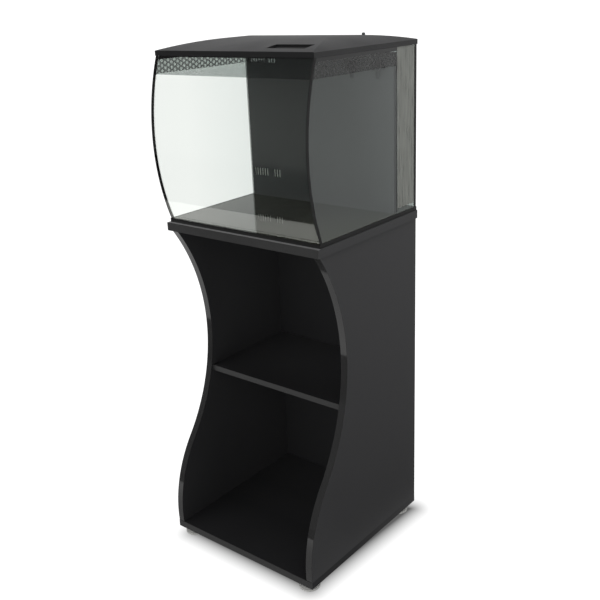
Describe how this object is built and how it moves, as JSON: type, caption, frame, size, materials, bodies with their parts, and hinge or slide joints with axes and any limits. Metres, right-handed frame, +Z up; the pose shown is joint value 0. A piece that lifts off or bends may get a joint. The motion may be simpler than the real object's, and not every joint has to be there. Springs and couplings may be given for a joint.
{
  "type": "aquarium stand",
  "caption": "Black pedestal aquarium stand with S-curved side panels and an open shelf, carrying its matching bow-front glass tank with a rear filter chamber and lift-off hood.",
  "frame": {"origin": "on the floor under the feet, midway between the side panels and midway between the stand's back edge and the front of its belly", "axes": "+Z up, the open front faces -Y, +X to the right as seen from the front"},
  "size_m": [0.416, 0.415, 1.14],
  "materials": {
    "board": "black melamine-faced board, satin",
    "edge_band": "black edge banding, glossy",
    "beech": "ribbed beech dowel",
    "steel": "zinc-plated steel",
    "zinc": "die-cast cam, dull",
    "glide": "light grey moulded glide",
    "glass": "clear float glass",
    "black_plastic": "black moulded plastic, satin",
    "silicone": "black silicone",
    "film": "grey printed film with a honeycomb screen",
    "black_acrylic": "black acrylic sheet, glossy",
    "foam": "open-cell filter foam",
    "media": "ceramic filter media",
    "hood_plastic": "black moulded hood, fine texture",
    "lens": "white lamp lens"
  },
  "bodies": {
    "stand": {"left_side_panel": "board", "right_side_panel": "board", "left_edge_band": "edge_band", "right_edge_band": "edge_band", "top_board": "board", "top_edge_band": "edge_band", "bottom_board": "board", "bottom_edge_band": "edge_band", "middle_shelf": "board", "shelf_edge_band": "edge_band", "back_panel": "board", "wood_dowels": "beech", "cam_bolts": "steel", "cam_locks": "zinc", "base_screws": "steel", "foot_inserts": "steel"},
    "front_left_leveller": {"front_left_foot": "glide", "front_left_stud": "steel"},
    "front_right_leveller": {"front_right_foot": "glide", "front_right_stud": "steel"},
    "rear_left_leveller": {"rear_left_foot": "glide", "rear_left_stud": "steel"},
    "rear_right_leveller": {"rear_right_foot": "glide", "rear_right_stud": "steel"},
    "tank": {"tank_base_trim": "black_plastic", "bottom_pane": "glass", "front_pane": "glass", "left_pane": "glass", "right_pane": "glass", "back_pane": "glass", "left_front_seam": "silicone", "right_front_seam": "silicone", "left_rear_trim": "silicone", "right_rear_trim": "silicone", "left_film": "film", "right_film": "film", "back_film": "film", "front_film": "film", "rear_partition": "black_acrylic", "foam_block": "foam", "media_basket": "black_plastic", "filter_media": "media", "pump_housing": "black_plastic", "pump_cover": "black_plastic", "riser_tube": "black_plastic", "outlet_manifold": "black_plastic"},
    "left_nozzle": {"left_nozzle": "black_plastic"},
    "right_nozzle": {"right_nozzle": "black_plastic"},
    "hood": {"hood_shell": "hood_plastic", "hatch_pins": "steel", "lamp_housing": "black_plastic", "lamp_lens": "lens", "lamp_screws": "steel", "sensor_pod": "black_acrylic"},
    "hatch": {"feeding_hatch": "hood_plastic"}
  },
  "joints": [
    {"name": "front_left_level", "type": "slide", "parent": "stand", "child": "front_left_leveller", "axis": [0, 0, -1], "range_m": [0, 0.008]},
    {"name": "front_right_level", "type": "slide", "parent": "stand", "child": "front_right_leveller", "axis": [0, 0, -1], "range_m": [0, 0.008]},
    {"name": "rear_left_level", "type": "slide", "parent": "stand", "child": "rear_left_leveller", "axis": [0, 0, -1], "range_m": [0, 0.008]},
    {"name": "rear_right_level", "type": "slide", "parent": "stand", "child": "rear_right_leveller", "axis": [0, 0, -1], "range_m": [0, 0.008]},
    {"name": "tank_lift", "type": "slide", "parent": "stand", "child": "tank", "axis": [0, 0, 1], "range_m": [0, 0.12]},
    {"name": "hood_lift", "type": "slide", "parent": "tank", "child": "hood", "axis": [0, 0, 1], "range_m": [0, 0.1]},
    {"name": "hatch_hinge", "type": "hinge", "parent": "hood", "child": "hatch", "pos_m": [0.1213, -0.0897, 1.1246], "axis": [-1, 0, 0], "range_deg": [0, 100]},
    {"name": "left_nozzle_swivel", "type": "hinge", "parent": "tank", "child": "left_nozzle", "pos_m": [0.104, 0.1168, 1.077], "axis": [0, 1, 0], "range_deg": [-60, 60]},
    {"name": "right_nozzle_swivel", "type": "hinge", "parent": "tank", "child": "right_nozzle", "pos_m": [0.168, 0.1168, 1.077], "axis": [0, 1, 0], "range_deg": [-60, 60]}
  ]
}
